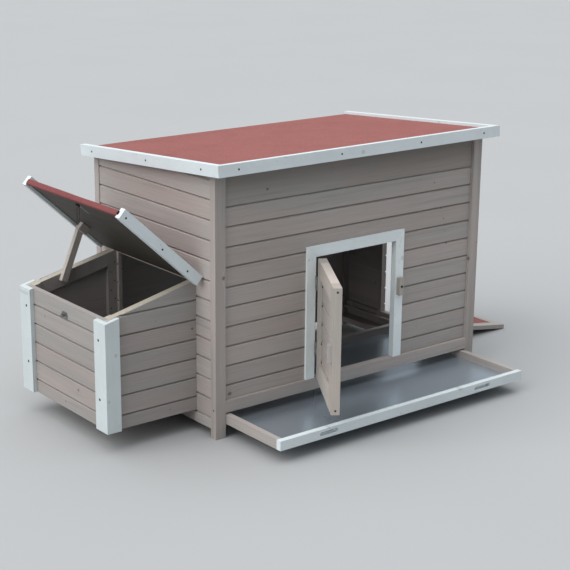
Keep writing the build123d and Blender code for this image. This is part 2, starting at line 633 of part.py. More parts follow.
def lid():
    """Felted lid panel between two grooved white trims, with hinges, hasp leaf and block."""
    inner_y0 = LID_Y0 + LID_TRIM_T
    inner_y1 = LID_Y1 - LID_TRIM_T
    tongue = GROOVE_D - 0.2
    panel = lid_block(LID_START, LID_LENGTH - FELT_T, inner_y0 - tongue, inner_y1 + tongue,
                      0, LID_BOARD_T)
    felt = lid_block(LID_START, LID_LENGTH, inner_y0 - tongue, inner_y1 + tongue,
                     LID_BOARD_T, LID_PANEL_T)
    felt = felt + lid_block(LID_LENGTH - FELT_T, LID_LENGTH, inner_y0, inner_y1,
                            -FELT_T, LID_PANEL_T)
    felt = felt + lid_block(LID_LENGTH - 10, LID_LENGTH, inner_y0, inner_y1, -FELT_T, 0)
    trims = [
        lid_block(LID_START, LID_LENGTH, y, y + LID_TRIM_T, LID_TRIM_LOW, LID_TRIM_HIGH)
        for y in (LID_Y0, inner_y1)
    ]
    groove = lid_block(LID_START - 10, LID_LENGTH + 10, inner_y0 - GROOVE_D, inner_y1 + GROOVE_D,
                       -0.1, LID_PANEL_T + 0.1)
    screw_s = (LID_LENGTH - 18, 168, 57)
    front_heads = [(-s, LID_Y0, LID_BOARD_T / 2) for s in screw_s]
    rear_heads = [(-s, LID_Y1, LID_BOARD_T / 2) for s in screw_s]
    front_screws, front_drills = screw_set(front_heads, (0, 1, 0), 36)
    rear_screws, rear_drills = screw_set(rear_heads, (0, -1, 0), 36)
    drills = front_drills + rear_drills

    stick_block = lid_block(STICK_PIVOT_S - 17, STICK_PIVOT_S + 17, STICK_Y0 - BATTEN_T - 0.5,
                            STICK_Y0 - 0.5, STICK_PIVOT_N - 9, 0)
    pivot_from = STICK_Y0 - 12
    pivot_to = STICK_Y0 + STICK_T
    pivot_mid = (-STICK_PIVOT_S, (pivot_from + pivot_to) / 2, STICK_PIVOT_N)
    pivot = rod(pivot_mid, (0, 1, 0), 2.0, pivot_to - pivot_from)
    pivot_head = rod((-STICK_PIVOT_S, pivot_to + 0.9, STICK_PIVOT_N), (0, 1, 0), 4.0, 1.2)
    pivot_hole = rod(pivot_mid, (0, 1, 0), 2.05, pivot_to - pivot_from + 1)
    pivot = pivot + rod((-STICK_PIVOT_S, pivot_to, STICK_PIVOT_N), (0, 1, 0), 2.0, 1.0) + pivot_head

    leaves = []
    wall_leaves = []
    pins = []
    hinge_mid = (LID_AXIS_X, 0, LID_AXIS_Z)
    to_axis = LID_AXIS_N - LID_PANEL_T
    for y in (HASP_Y - 165, HASP_Y + 165):
        y0 = y - HINGE_LEN / 2
        y1 = y + HINGE_LEN / 2
        plate = lid_block(0, HINGE_LEAF, y0, y1, LID_PANEL_T, LID_PANEL_T + SHEET_T)
        plate = plate + lid_block(0, LID_START, y0, y1, LID_PANEL_T, LID_PANEL_T + to_axis)
        moving = lid_place * plate
        wall_plate = block(SIDE_SET - SHEET_T, SIDE_SET, y0, y1, LID_AXIS_Z, LID_AXIS_Z + HINGE_LEAF)
        web = block(LID_AXIS_X, SIDE_SET, y0, y1, LID_AXIS_Z - SHEET_T / 2, LID_AXIS_Z + SHEET_T / 2)
        fixed, turning, pin = hinge(hinge_mid, (0, 1, 0), y, wall_plate + web, moving)
        wall_leaves.append(fixed)
        leaves.append(turning)
        pins.append(pin)

    leaf_play = 0.1
    leaf_seat = lid_block(
        HASP_S - HASP_LEAF - leaf_play, HASP_S + KNUCKLE_R + 0.5, HASP_Y - HASP_W / 2 - leaf_play,
        HASP_Y + HASP_W / 2 + leaf_play, -1, SHEET_T + 0.05)
    made = {
        "lid_panel": cut([panel], leaf_seat, *drills),
        "lid_felt": [felt],
        "lid_side_trims": cut(trims, groove, *drills),
        "lid_screws": front_screws + rear_screws + [pivot],
        "prop_stick_block": cut([stick_block], pivot_hole),
    }
    parts = {name: [lid_place * solid for solid in solids] for name, solids in made.items()}
    parts["lid_hinge_lid_leaves"] = leaves
    parts["lid_hinge_wall_leaves"] = wall_leaves
    parts["hinge_pins"] = pins
    return parts


def prop_stick():
    """Batten that stands between the lid and the nest, with a rounded pivot end."""
    x, z = lid_at(STICK_PIVOT_S, STICK_PIVOT_N)
    plane = Plane(origin=(x, STICK_Y0, z), x_dir=(1, 0, 0), z_dir=(0, -1, 0))
    half = STICK_W / 2
    bar = prism([(-half, 0), (half, 0), (half, -STICK_LEN), (-half, -STICK_LEN)], plane, -STICK_T)
    end = rod((x, STICK_Y0 + STICK_T / 2, z), (0, 1, 0), half, STICK_T)
    bore = rod((x, STICK_Y0 + STICK_T / 2, z), (0, 1, 0), 2.05, STICK_T + 2)
    stick = (bar + end) - bore
    return {"prop_stick": [stick.rotate(Axis((x, 0, z), (0, 1, 0)), STICK_LEAN)]}


def hasp():
    """Slotted strap hanging from a hinge leaf under the lid, close to its free edge."""
    x, z = lid_at(HASP_S, HASP_N)
    y0 = HASP_Y - HASP_W / 2
    y1 = HASP_Y + HASP_W / 2
    leaf = lid_place * lid_block(HASP_S - HASP_LEAF, HASP_S, y0, y1, 0, SHEET_T)
    strap = block(x - SHEET_T / 2, x + SHEET_T / 2, y0, y1, z - HASP_LEN, z)
    third = HASP_W / 3
    gap = 0.4
    centre = (x, HASP_Y, z)
    bore = rod(centre, (0, 1, 0), PIN_R + PIN_CLEAR, HASP_W + 2)
    fixed = leaf - rod(centre, (0, 1, 0), KNUCKLE_R + gap, third + gap)
    moving = strap
    for side in (-1, 1):
        at = (x, HASP_Y + side * third, z)
        fixed = fixed + rod(at, (0, 1, 0), KNUCKLE_R, third - gap)
        moving = moving - rod(at, (0, 1, 0), KNUCKLE_R + gap, third + gap)
    moving = moving + rod(centre, (0, 1, 0), KNUCKLE_R, third - gap)
    eye_hole = block(x - 3, x + 3, HASP_Y - 3.5, HASP_Y + 3.5, z - HASP_LEN + 6, z - HASP_LEN + 24)
    pin = rod(centre, (0, 1, 0), PIN_R, HASP_W)
    return {
        "hasp_leaf_and_pin": [fixed - bore, pin],
        "hasp_strap": [moving - bore - eye_hole],
    }


EYE_Z = 350.0
EYE_Y = HASP_Y
EYE_PLATE_W = 34.0
EYE_PLATE_H = 20.0


def turning_eye():
    """Plate on the nest's end boards with a flat eye that turns to lock the hasp."""
    face = Plane(origin=(NEST_X, EYE_Y, EYE_Z), x_dir=(0, -1, 0), z_dir=(-1, 0, 0))
    plate = extrude(face * SlotOverall(EYE_PLATE_W, EYE_PLATE_H), amount=SHEET_T)
    domes = [rod((NEST_X - SHEET_T - 0.5, EYE_Y + side * 11, EYE_Z), (1, 0, 0), 3.0, 1.0)
             for side in (-1, 1)]
    stem_len = 3.0
    gap = 0.3
    ring_t = 1.8
    ring_r = 5.5
    stem_x = NEST_X - SHEET_T - gap
    stem = rod((stem_x - stem_len / 2, EYE_Y, EYE_Z), (1, 0, 0), 2.5, stem_len)
    ring_x = stem_x - stem_len - ring_r + 1.0
    ring = rod((ring_x, EYE_Y, EYE_Z), (0, 1, 0), ring_r, ring_t)
    ring = ring - rod((ring_x, EYE_Y, EYE_Z), (0, 1, 0), ring_r / 2, ring_t + 1)
    return {"eye_plate": [plate] + domes, "turning_eye": [ring + stem]}


# ---- ramp door ----
RAMP_SLOPE = degrees(atan2(RAMP_AXIS_Z - RAMP_T, RAMP_LEN))
ramp_axis = Axis((RAMP_AXIS_X, 0, RAMP_AXIS_Z), (0, 1, 0))


def ramp():
    """Felted panel between side rails and an end rail, hinged below the pop-hole."""
    start = 5.0
    x0 = RAMP_AXIS_X + start
    x1 = RAMP_AXIS_X + RAMP_LEN
    top = RAMP_AXIS_Z + FELT_T
    bottom = RAMP_AXIS_Z - RAMP_T
    side = [block(x0, x1 - RAMP_RAIL, y, y + RAMP_RAIL, bottom, top)
            for y in (RAMP_Y0, RAMP_Y1 - RAMP_RAIL)]
    end = block(x1 - RAMP_RAIL, x1, RAMP_Y0, RAMP_Y1, bottom, top)
    in_y0 = RAMP_Y0 + RAMP_RAIL
    in_y1 = RAMP_Y1 - RAMP_RAIL
    panel = block(x0, x1 - RAMP_RAIL, in_y0, in_y1, bottom, RAMP_AXIS_Z - FELT_T)
    felt = block(x0, x1 - RAMP_RAIL, in_y0, in_y1, RAMP_AXIS_Z - FELT_T, RAMP_AXIS_Z)
    wall_leaves = []
    ramp_leaves = []
    pins = []
    for y in (RAMP_Y0 + 28, RAMP_Y1 - 28):
        y0 = y - HINGE_LEN / 2
        y1 = y + HINGE_LEN / 2
        wall_x = WIDTH - SIDE_SET
        fixed = block(wall_x, wall_x + SHEET_T, y0, y1, RAMP_AXIS_Z - HINGE_LEAF, RAMP_AXIS_Z)
        web_z = RAMP_AXIS_Z - SHEET_T / 2
        fixed = fixed + block(wall_x, RAMP_AXIS_X, y0, y1, web_z, web_z + SHEET_T)
        moving = block(RAMP_AXIS_X, x0, y0, y1, web_z, web_z + SHEET_T)
        moving = moving + block(x0 - SHEET_T, x0, y0, y1, bottom, RAMP_AXIS_Z)
        hinge_mid = (RAMP_AXIS_X, 0, RAMP_AXIS_Z)
        one, other, pin = hinge(hinge_mid, (0, 1, 0), y, fixed, moving)
        wall_leaves.append(one)
        ramp_leaves.append(other)
        pins.append(pin)
    lowered = {
        "ramp_panel": [panel],
        "ramp_rails": side + [end],
        "ramp_felt": [felt],
        "ramp_hinge_ramp_leaves": ramp_leaves,
    }
    parts = {
        name: [solid.rotate(ramp_axis, RAMP_SLOPE) for solid in solids]
        for name, solids in lowered.items()
    }
    parts["ramp_hinge_wall_leaves"] = wall_leaves
    parts["hinge_pins"] = pins
    return parts


# ---- assembly ----
def all_parts():
    buttons, frame_bores = turn_buttons()
    nodes = {}
    groups = (posts(), rails(), walls(), wall_battens(), roof(), door_frame(), door(), buttons,
              tray(), nest_box(), lid(), prop_stick(), hasp(), turning_eye(), ramp())
    for group in groups:
        for name, solids in group.items():
            nodes[name] = nodes.get(name, []) + solids
    for name in ("door_frame_right_jamb", "front_wall_boards"):
        nodes[name] = cut(nodes[name], *frame_bores)
    return nodes


def place(nodes):
    """Shift every node so that the origin is the bottom centre of the bounding box."""
    box = Compound([solid for solids in nodes.values() for solid in solids]).bounding_box()
    shift = (-(box.min.X + box.max.X) / 2, -(box.min.Y + box.max.Y) / 2, -box.min.Z)
    moved = {name: [Pos(*shift) * solid for solid in solids] for name, solids in nodes.items()}
    return moved, shift


nodes, SHIFT = place(all_parts())
os.makedirs("parts", exist_ok=True)
for node_name, node_solids in nodes.items():
    export_step(Compound(node_solids), f"parts/{node_name}.step")
print(len(nodes), "nodes; shift", [round(value, 3) for value in SHIFT])
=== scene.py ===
import math

import bmesh
import bpy
import numpy as np
from mathutils import Matrix, Vector, noise


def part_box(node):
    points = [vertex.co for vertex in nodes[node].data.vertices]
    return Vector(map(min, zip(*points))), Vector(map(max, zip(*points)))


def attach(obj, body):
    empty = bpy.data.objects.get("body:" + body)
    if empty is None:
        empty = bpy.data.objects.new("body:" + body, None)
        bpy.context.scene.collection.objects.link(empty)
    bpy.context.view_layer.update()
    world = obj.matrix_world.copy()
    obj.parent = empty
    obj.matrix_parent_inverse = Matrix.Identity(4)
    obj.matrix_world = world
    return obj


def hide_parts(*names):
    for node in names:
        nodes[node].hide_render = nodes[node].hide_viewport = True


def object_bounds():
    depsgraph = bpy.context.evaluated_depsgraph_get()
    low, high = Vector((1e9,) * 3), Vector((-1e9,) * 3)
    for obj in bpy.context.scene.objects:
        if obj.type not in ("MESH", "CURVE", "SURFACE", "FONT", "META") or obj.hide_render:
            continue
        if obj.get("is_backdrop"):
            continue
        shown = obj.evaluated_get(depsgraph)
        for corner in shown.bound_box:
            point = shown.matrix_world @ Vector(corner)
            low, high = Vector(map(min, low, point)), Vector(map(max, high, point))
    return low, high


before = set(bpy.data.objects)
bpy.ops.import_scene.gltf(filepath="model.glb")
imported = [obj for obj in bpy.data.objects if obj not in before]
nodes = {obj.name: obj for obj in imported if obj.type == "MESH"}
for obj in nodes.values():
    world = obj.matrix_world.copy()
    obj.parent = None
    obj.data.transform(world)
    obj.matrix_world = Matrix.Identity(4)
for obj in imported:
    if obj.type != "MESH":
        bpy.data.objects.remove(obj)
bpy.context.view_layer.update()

# ---- the coop's own directions and sizes, in the row frame, in metres ----
ROOF_SLOPE = math.radians(4.169)
NEST_SLOPE = math.radians(12.65)
LID_SLOPE = math.radians(42.40)
RAMP_SLOPE = math.radians(8.594)
STICK_LEAN = math.radians(22.5)
DOOR_TURN = math.radians(-122.0)
PITCH = 0.058                      # cover width of the boards
FRONT_FIRST = 0.098                # lower edges of the lowest boards
SIDE_FIRST = 0.0033
NEST_FIRST = 0.0488
DOOR_FIRST = 0.130
X, Y, Z = Vector((1, 0, 0)), Vector((0, 1, 0)), Vector((0, 0, 1))
ROOF_RUN = Vector((0, math.cos(ROOF_SLOPE), -math.sin(ROOF_SLOPE)))
ROOF_UP = Vector((0, math.sin(ROOF_SLOPE), math.cos(ROOF_SLOPE)))
NEST_UP = Vector((-math.sin(NEST_SLOPE), 0, math.cos(NEST_SLOPE)))
LID_RUN = Vector((-math.cos(LID_SLOPE), 0, math.sin(LID_SLOPE)))
LID_UP = Vector((math.sin(LID_SLOPE), 0, math.cos(LID_SLOPE)))
RAMP_RUN = Vector((math.cos(RAMP_SLOPE), 0, -math.sin(RAMP_SLOPE)))
RAMP_UP = Vector((math.sin(RAMP_SLOPE), 0, math.cos(RAMP_SLOPE)))
STICK_RUN = Vector((math.sin(STICK_LEAN), 0, math.cos(STICK_LEAN)))
DOOR_RUN = Vector((math.cos(DOOR_TURN), math.sin(DOOR_TURN), 0))


# ---- node building ----
def linear(colour):
    """Linear values of an 8-bit colour."""
    def one(v):
        v /= 255
        return v / 12.92 if v <= 0.04045 else ((v + 0.055) / 1.055) ** 2.4
    return tuple(one(v) for v in colour) + (1.0,)


def tint(colour, red, green, blue):
    """A linear colour with each channel scaled."""
    return tuple(min(1.0, c * k) for c, k in zip(colour, (red, green, blue))) + (1.0,)


class Tree:
    """A material's node tree, built one call at a time."""

    def __init__(self, name):
        self.material = bpy.data.materials.new(name)
        self.material.use_nodes = True
        self.tree = self.material.node_tree
        self.tree.nodes.clear()
        coords = self.node("ShaderNodeTexCoord")
        self.place = coords.outputs["Object"]
        self.normal = coords.outputs["Normal"]

    def node(self, kind, feeds=(), **settings):
        made = self.tree.nodes.new(kind)
        for key, value in settings.items():
            setattr(made, key, value)
        for key, value in dict(feeds).items():
            if isinstance(value, bpy.types.NodeSocket):
                self.tree.links.new(value, made.inputs[key])
            else:
                made.inputs[key].default_value = value
        return made

    def math(self, operation, *values):
        return self.node("ShaderNodeMath", enumerate(values), operation=operation).outputs[0]

    def vector(self, operation, *values, out=0):
        return self.node("ShaderNodeVectorMath", enumerate(values), operation=operation).outputs[out]

    def along(self, direction, place=None):
        direction = direction if isinstance(direction, bpy.types.NodeSocket) else tuple(direction)
        return self.vector("DOT_PRODUCT", place or self.place, direction, out="Value")

    def join(self, x=0.0, y=0.0, z=0.0):
        return self.node("ShaderNodeCombineXYZ", {0: x, 1: y, 2: z}).outputs[0]

    def scaled(self, x, y, z):
        """A place made of three sockets, each times its own number."""
        return self.join(*(self.math("MULTIPLY", socket, k) for socket, k in (x, y, z)))

    def noise(self, place, scale=1.0, detail=3.0, rough=0.5, twist=0.0):
        feeds = {"Vector": place, "Scale": scale, "Detail": detail, "Roughness": rough,
                 "Distortion": twist}
        return self.node("ShaderNodeTexNoise", feeds).outputs["Fac"]

    def step(self, value, low, high, to_low=0.0, to_high=1.0):
        feeds = {0: value, 1: low, 2: high, 3: to_low, 4: to_high}
        return self.node("ShaderNodeMapRange", feeds, interpolation_type="SMOOTHSTEP").outputs[0]

    def mix(self, share, one, other):
        feeds = {0: share, 6: one, 7: other}
        return self.node("ShaderNodeMix", feeds, data_type="RGBA").outputs[2]

    def finish(self, colour, rough, height=None, depth=0.001, strength=0.4, metal=0.0, edge=0.0):
        feeds = {"Base Color": colour, "Roughness": rough, "Metallic": metal}
        if height is not None:
            bump = {"Height": height, "Distance": depth, "Strength": strength}
            if edge:
                bump["Normal"] = self.node("ShaderNodeBevel", {"Radius": edge}, samples=3).outputs[0]
            feeds["Normal"] = self.node("ShaderNodeBump", bump).outputs[0]
        shader = self.node("ShaderNodeBsdfPrincipled", feeds)
        out = self.node("ShaderNodeOutputMaterial")
        self.tree.links.new(shader.outputs[0], out.inputs[0])
        return self.material


# ---- materials ----
def timber(tree, run, across, first=None, seed=0.0, knots=0.5, knot_size=0.0075):
    """Sawn softwood whose grain lies along run. Returns sockets: fine fibres, broad streaks,
    growth lines, knot mask, and one random value for each board."""
    depth = run.cross(across)
    u, v, w = tree.along(run), tree.along(across), tree.along(depth)
    if first is None:
        dice = tree.noise(tree.vector("ADD", tree.place, (seed, seed, seed)), 1.3, 0.0)
        chance = tree.step(dice, 0.35, 0.65)
    else:
        number = tree.math("FLOOR", tree.math("DIVIDE", tree.math("SUBTRACT", v, first), PITCH))
        chance = tree.node("ShaderNodeTexWhiteNoise", {"W": tree.math("ADD", number, seed + 0.37)},
                           noise_dimensions="1D").outputs["Value"]
    shifted = u if first is None else tree.math("MULTIPLY_ADD", chance, 9.7, u)
    # knots: one seed in each cell of a stretched grid, measured in true distance
    wide, high = 3.6, 1 / PITCH
    cells = tree.join(tree.math("MULTIPLY", shifted, wide), tree.math("MULTIPLY", v, high),
                      tree.math("MULTIPLY_ADD", w, 3.0, seed))
    seeds = tree.node("ShaderNodeTexVoronoi", {"Vector": cells, "Scale": 1.0, "Randomness": 0.85})
    centre = seeds.outputs["Position"]
    away = tree.vector("MULTIPLY", tree.vector("SUBTRACT", cells, centre), (0.85 / wide, 1 / high, 0))
    span = tree.vector("LENGTH", away, out="Value")
    luck = tree.node("ShaderNodeTexWhiteNoise", {"Vector": centre}, noise_dimensions="3D")
    size = tree.step(luck.outputs["Value"], knots, 1.0, 0.00001, knot_size)
    knot = tree.math("SUBTRACT", 1.0, tree.step(tree.math("DIVIDE", span, size), 0.45, 1.0))
    pull = tree.math("POWER", 2.718, tree.math("MULTIPLY", tree.math("MULTIPLY", span, span), -2500.0))
    grain_v = tree.math("ADD", v, tree.math("MULTIPLY", pull, tree.math("MULTIPLY", size, 1.1)))
    fine = tree.noise(tree.scaled((shifted, 7.0), (grain_v, 420.0), (w, 420.0)), 1.0, 3.0, 0.6, 0.2)
    broad = tree.noise(tree.scaled((shifted, 2.2), (grain_v, 60.0), (w, 60.0)), 1.0, 3.0, 0.55, 0.3)
    bow = tree.noise(tree.scaled((shifted, 1.1), (v, 9.0), (w, 9.0)), 1.0, 1.0)
    ring = tree.math("MULTIPLY_ADD", bow, 0.05, grain_v)
    wave = tree.math("SINE", tree.math("MULTIPLY", ring, 6.2832 / 0.0065))
    growth = tree.step(wave, 0.0, 1.0)
    return fine, broad, growth, knot, chance


def stained(name, run, across, first=None, seed=0.0, base=(163, 157, 153), cap=None, middle=None,
            eave=None):
    """Thin taupe stain on softwood: streaks, faint growth lines, knots and board tints. cap is
    (point, up, reach, colour) of a bare sawn top edge that reaches so far from the point in Y;
    middle is a point inside the box the boards enclose, so that only their outer faces get dark
    joint lines, soiling and painted shade in the grooves; eave is (low, high), the heights between
    which the wood is darkened towards the roof, as painted eave shade."""
    tree = Tree(name)
    fine, broad, growth, knot, chance = timber(tree, run, across, first, seed)
    base = linear(base)
    colours = {
        "pink": tint(base, 1.05, 0.99, 0.98), "grey": tint(base, 0.95, 0.98, 0.98),
        "dark": tint(base, 0.60, 0.57, 0.55), "pale": tint(base, 1.28, 1.27, 1.25),
        "heart": tint(base, 0.33, 0.26, 0.22),
    }
    zones = tree.noise(tree.scaled((tree.along(run), 1.7), (tree.along(across), 11.0),
                                   (chance, 3.0)), 1.0, 2.0, 0.5)
    colour = tree.mix(tree.step(zones, 0.32, 0.68), colours["grey"], colours["pink"])
    colour = tree.mix(tree.math("MULTIPLY", chance, 0.28), colour, colours["dark"])
    colour = tree.mix(tree.math("MULTIPLY", growth, 0.10), colour, colours["dark"])
    colour = tree.mix(tree.step(broad, 0.52, 0.82, 0.0, 0.46), colour, colours["dark"])
    colour = tree.mix(tree.step(broad, 0.46, 0.20, 0.0, 0.44), colour, colours["pale"])
    colour = tree.mix(tree.step(fine, 0.50, 0.80, 0.0, 0.30), colour, colours["dark"])
    colour = tree.mix(tree.step(fine, 0.46, 0.22, 0.0, 0.20), colour, colours["pale"])
    colour = tree.mix(tree.math("MULTIPLY", knot, 0.80), colour, colours["heart"])
    if first is not None:
        boards = tree.math("DIVIDE", tree.math("SUBTRACT", tree.along(across), first), PITCH)
        joint = tree.math("PINGPONG", boards, 0.5)
        # dark lines along the board joints: soiling and painted shade in the grooves
        joint_dirt_and_shade = tree.step(joint, 0.012, 0.038, 0.90, 0.0)
        if middle:
            outwards = tree.along(tree.normal, tree.vector("SUBTRACT", tree.place, middle))
            joint_dirt_and_shade = tree.math("MULTIPLY", joint_dirt_and_shade, tree.math("GREATER_THAN", outwards, 0.0))
        colour = tree.mix(joint_dirt_and_shade, colour, colours["heart"])
    if eave:
        # painted eave shade: darker towards the roof, for the shadow under the eave
        painted_eave_shade = tree.step(tree.along(Z), eave[0], eave[1], 0.0, 0.85)
        colour = tree.mix(painted_eave_shade, colour, colours["dark"])
    ends = tree.math("ABSOLUTE", tree.along(run, tree.normal))
    colour = tree.mix(tree.step(ends, 0.6, 0.9, 0.0, 0.40), colour, colours["dark"])
    if cap:
        point, up, reach, shade = cap
        over = tree.math("GREATER_THAN", tree.along(up), point.dot(up))
        bare = tree.math("MULTIPLY", over, tree.step(tree.along(up, tree.normal), 0.8, 0.95))
        aside = tree.math("ABSOLUTE", tree.math("SUBTRACT", tree.along(Y), point.y))
        aside = tree.math("MULTIPLY_ADD", zones, 0.003, aside)
        bare = tree.math("MULTIPLY", bare, tree.step(aside, reach - 0.001, reach + 0.001, 1.0, 0.0))
        shade = linear(shade)
        sawn = tree.mix(tree.step(fine, 0.35, 0.75), shade, tint(shade, 0.72, 0.69, 0.63))
        colour = tree.mix(bare, colour, sawn)
    height = tree.math("MULTIPLY_ADD", fine, 0.7, tree.math("MULTIPLY", growth, -0.2))
    return tree.finish(colour, tree.step(fine, 0.2, 0.8, 0.60, 0.82), height, 0.0006, 0.5, edge=0.0012)


def painted(name, run, across, seed=0.0, base=(209, 218, 221), grime=0.22):
    """White paint over softwood: faint grain, knots bleeding through, small scuffs."""
    tree = Tree(name)
    fine, broad, growth, knot, chance = timber(tree, run, across, None, seed, 0.35, 0.009)
    base = linear(base)
    dull = tint(base, 0.84, 0.84, 0.83)
    bleed = tint(base, 0.58, 0.56, 0.50)
    clouds = tree.noise(tree.place, 7.0, 5.0, 0.6, 0.3)
    colour = tree.mix(tree.step(clouds, 0.35, 0.75, 0.0, 0.5), base, dull)
    colour = tree.mix(tree.step(broad, 0.50, 0.85, 0.0, 0.35), colour, dull)
    colour = tree.mix(tree.step(fine, 0.55, 0.85, 0.0, 0.25), colour, dull)
    colour = tree.mix(tree.math("MULTIPLY", knot, 0.5), colour, bleed)
    scuffs = tree.noise(tree.scaled((tree.along(run), 35.0), (tree.along(across), 90.0),
                                    (tree.along(run.cross(across)), 90.0)), 1.0, 4.0, 0.7, 0.2)
    colour = tree.mix(tree.step(scuffs, 0.60, 0.74, 0.0, grime), colour, linear((128, 126, 116)))
    height = tree.math("MULTIPLY_ADD", fine, 0.6, tree.math("MULTIPLY", knot, -0.5))
    return tree.finish(colour, tree.step(clouds, 0.3, 0.7, 0.40, 0.56), height, 0.0004, 0.4, edge=0.0012)


def mineral_felt(name, base=(138, 79, 74), seed=0.0):
    """Roofing felt: coloured mineral granules pressed into bitumen, with bald specks."""
    tree = Tree(name)
    place = tree.vector("ADD", tree.place, (seed, seed, 0.0))
    grains = tree.node("ShaderNodeTexVoronoi", {"Vector": place, "Scale": 620.0})
    tone = tree.node("ShaderNodeSeparateColor", {0: grains.outputs["Color"]}).outputs[0]
    base = linear(base)
    dark = tint(base, 0.60, 0.48, 0.47)
    light = tint(base, 1.25, 1.45, 1.48)
    colour = tree.mix(0.5, tree.mix(tone, dark, light), base)
    clouds = tree.noise(place, 4.5, 5.0, 0.55, 0.4)
    colour = tree.mix(tree.step(clouds, 0.30, 0.72, 0.0, 0.25), colour, light)
    patches = tree.noise(place, 14.0, 4.0, 0.6)
    colour = tree.mix(tree.step(patches, 0.45, 0.80, 0.0, 0.25), colour, dark)
    bald = tree.step(tree.noise(place, 210.0, 2.0, 0.6), 0.57, 0.70, 0.0, 0.7)
    colour = tree.mix(bald, colour, linear((60, 50, 47)))
    height = tree.math("SUBTRACT", 1.0, grains.outputs["Distance"])
    return tree.finish(colour, tree.step(tone, 0.0, 1.0, 0.80, 0.95), height, 0.0008, 0.6)


def sheet_zinc(name, base=(194, 207, 218)):
    """Galvanised sheet: very faint spangles, water marks and a soft blurred sheen."""
    tree = Tree(name)
    wobble = tree.node("ShaderNodeTexNoise", {"Vector": tree.place, "Scale": 25.0, "Detail": 2.0})
    bent = tree.vector("MULTIPLY_ADD", wobble.outputs["Color"], (0.012, 0.012, 0.012), tree.place)
    cells = tree.node("ShaderNodeTexVoronoi", {"Vector": bent, "Scale": 90.0})
    tone = tree.node("ShaderNodeSeparateColor", {0: cells.outputs["Color"]}).outputs[0]
    base = linear(base)
    colour = tree.mix(tree.math("MULTIPLY", tone, 0.15), base, tint(base, 0.88, 0.89, 0.90))
    marks = tree.noise(tree.place, 4.0, 5.0, 0.6, 0.8)
    colour = tree.mix(tree.step(marks, 0.50, 0.78, 0.0, 0.14), colour, linear((150, 154, 154)))
    gloss = tree.step(tree.noise(tree.place, 1.6, 1.0), 0.3, 0.7, 0.24, 0.29)
    return tree.finish(colour, gloss, tree.noise(tree.place, 2.5, 1.0), 0.0012, 0.35, metal=0.80)


def fitting_zinc(name, base=(150, 152, 152), gloss=(0.30, 0.50), metal=1.0):
    """Zinc-plated pressed steel: dulled, with fine scratches and a few dark specks."""
    tree = Tree(name)
    cloud = tree.noise(tree.place, 60.0, 5.0, 0.6)
    line = tree.noise(tree.scaled((tree.along(X), 90.0), (tree.along(Y), 90.0),
                                  (tree.along(Z), 1400.0)), 1.0, 2.0)
    base = linear(base)
    colour = tree.mix(tree.step(cloud, 0.4, 0.75, 0.0, 0.7), base, tint(base, 0.50, 0.47, 0.43))
    rough = tree.math("MULTIPLY_ADD", line, 0.08, tree.step(cloud, 0.3, 0.7, *gloss))
    return tree.finish(colour, rough, line, 0.0002, 0.2, metal=metal)


# ---- meshes ----
def islands(mesh):
    """Points of each separate solid of a mesh whose faces may share no vertices."""
    co = np.array([v.co for v in mesh.vertices])
    _, same = np.unique(np.round(co, 6), axis=0, return_inverse=True)
    same = same.ravel()
    parent = list(range(same.max() + 1))

    def root(i):
        while parent[i] != i:
            parent[i] = parent[parent[i]]
            i = parent[i]
        return i

    for face in mesh.polygons:
        ring = [root(same[i]) for i in face.vertices]
        for other in ring[1:]:
            parent[root(other)] = root(ring[0])
    groups = {}
    for i, s in enumerate(same):
        groups.setdefault(root(s), []).append(i)
    found = [co[ids] for ids in groups.values()]
    return sorted(found, key=lambda pts: tuple(np.round(pts.mean(0), 5)))


def add_piece(name, verts, faces, material, body, slot, smooth=True, sharp=35):
    """A mesh object that rides on a CAD body, with outward faces and edges sharp past an angle."""
    mesh = bpy.data.meshes.new(name)
    mesh.from_pydata([tuple(v) for v in verts], [], faces)
    shape = bmesh.new()
    shape.from_mesh(mesh)
    bmesh.ops.recalc_face_normals(shape, faces=shape.faces)
    for edge in shape.edges:
        if len(edge.link_faces) == 2 and edge.calc_face_angle() > math.radians(sharp):
            edge.smooth = False
    for face in shape.faces:
        face.smooth = smooth
    shape.to_mesh(mesh)
    shape.free()
    mesh.materials.append(material)
    piece = bpy.data.objects.new(name, mesh)
    bpy.context.scene.collection.objects.link(piece)
    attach(piece, body)
    return piece


